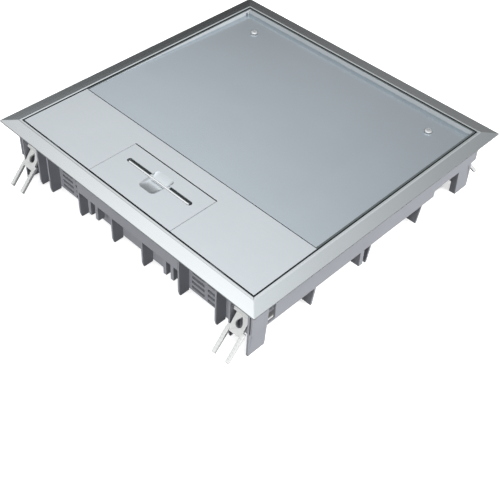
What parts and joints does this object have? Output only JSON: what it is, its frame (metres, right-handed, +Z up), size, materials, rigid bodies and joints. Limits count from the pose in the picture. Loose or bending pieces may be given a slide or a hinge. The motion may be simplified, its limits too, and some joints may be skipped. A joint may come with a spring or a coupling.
{
  "type": "floor socket box",
  "caption": "Square floor socket box: metal rim frame with snap claws, hinged lid with inlay plate, cord outlet flap with pull bar, device cups with sockets.",
  "frame": {"origin": "centre of the four corner feet's plane, under the middle of the lid", "axes": "+Z up through the lid, -Y towards the cord outlet, +Y towards the lid hinge, X along the hinge"},
  "size_m": [0.324, 0.342, 0.0677],
  "materials": {
    "frame_plastic": "fine spark texture, grey polyamide",
    "rim_metal": "brushed, anodised",
    "strip_metal": "fine brushed stainless",
    "plate_metal": "satin stainless",
    "bar_metal": "polished edge",
    "lid_plastic": "grey polyamide",
    "claw_plastic": "white acetal",
    "cup_plastic": "dark grey polyamide",
    "socket_plastic": "white",
    "insert_plastic": "light grey",
    "steel": "zinc plated",
    "brass": "bare",
    "rubber": "black elastomer"
  },
  "bodies": {
    "root": {"frame_front": "frame_plastic", "frame_back": "frame_plastic", "frame_right": "frame_plastic", "frame_left": "frame_plastic", "rim_trim_front": "rim_metal", "rim_trim_back": "rim_metal", "rim_trim_right": "rim_metal", "rim_trim_left": "rim_metal", "corner_brackets": "steel", "hinge_pins": "steel", "latch_clips": "steel", "lid_buffers": "rubber", "claw_pins": "steel", "cup_left": "cup_plastic", "cup_middle": "cup_plastic", "cup_right": "cup_plastic", "carrier_left": "cup_plastic", "carrier_middle": "cup_plastic", "carrier_right": "cup_plastic", "power_socket_left_1": "socket_plastic", "power_socket_left_2": "socket_plastic", "power_socket_left_3": "socket_plastic", "power_socket_right_1": "socket_plastic", "power_socket_right_2": "socket_plastic", "power_socket_right_3": "socket_plastic", "power_contacts_left": "brass", "power_contacts_right": "brass", "earth_clips_left": "steel", "earth_clips_right": "steel", "data_module_front": "insert_plastic", "data_module_back": "insert_plastic", "blank_plates": "insert_plastic", "cable_grommets": "rubber", "cable_clamps": "cup_plastic"},
    "lid": {"lid_tray": "lid_plastic", "front_strip": "strip_metal", "inlay_plate": "plate_metal", "plate_screws": "steel", "lid_stiffeners": "steel", "flap_pin": "steel"},
    "outlet_flap": {"flap_plate": "strip_metal", "flap_body": "lid_plastic", "flap_seal": "rubber"},
    "pull_bar": {"pull_bar": "bar_metal"},
    "claw_front_right": {"claw_front_right": "claw_plastic"},
    "claw_front_left": {"claw_front_left": "claw_plastic"},
    "claw_back_right": {"claw_back_right": "claw_plastic"},
    "claw_back_left": {"claw_back_left": "claw_plastic"}
  },
  "joints": [
    {"name": "lid_hinge", "type": "hinge", "parent": "root", "child": "lid", "pos_m": [0, 0.14, 0.0634], "axis": [-1, 0, 0], "range_deg": [0, 100]},
    {"name": "flap_hinge", "type": "hinge", "parent": "lid", "child": "outlet_flap", "pos_m": [0, -0.0985, 0.0644], "axis": [-1, 0, 0], "range_deg": [0, 95]},
    {"name": "bar_slide", "type": "slide", "parent": "outlet_flap", "child": "pull_bar", "axis": [0, 0, 1], "range_m": [0, 0.015]},
    {"name": "claw_front_right_hinge", "type": "hinge", "parent": "root", "child": "claw_front_right", "pos_m": [0.13617, -0.14405, 0.038], "axis": [-1, 0, 0], "range_deg": [-30, 50]},
    {"name": "claw_front_left_hinge", "type": "hinge", "parent": "root", "child": "claw_front_left", "pos_m": [-0.13617, -0.14405, 0.038], "axis": [-1, 0, 0], "range_deg": [-30, 50]},
    {"name": "claw_back_right_hinge", "type": "hinge", "parent": "root", "child": "claw_back_right", "pos_m": [0.13617, 0.14405, 0.038], "axis": [1, 0, 0], "range_deg": [-30, 50]},
    {"name": "claw_back_left_hinge", "type": "hinge", "parent": "root", "child": "claw_back_left", "pos_m": [-0.13617, 0.14405, 0.038], "axis": [1, 0, 0], "range_deg": [-30, 50]}
  ]
}
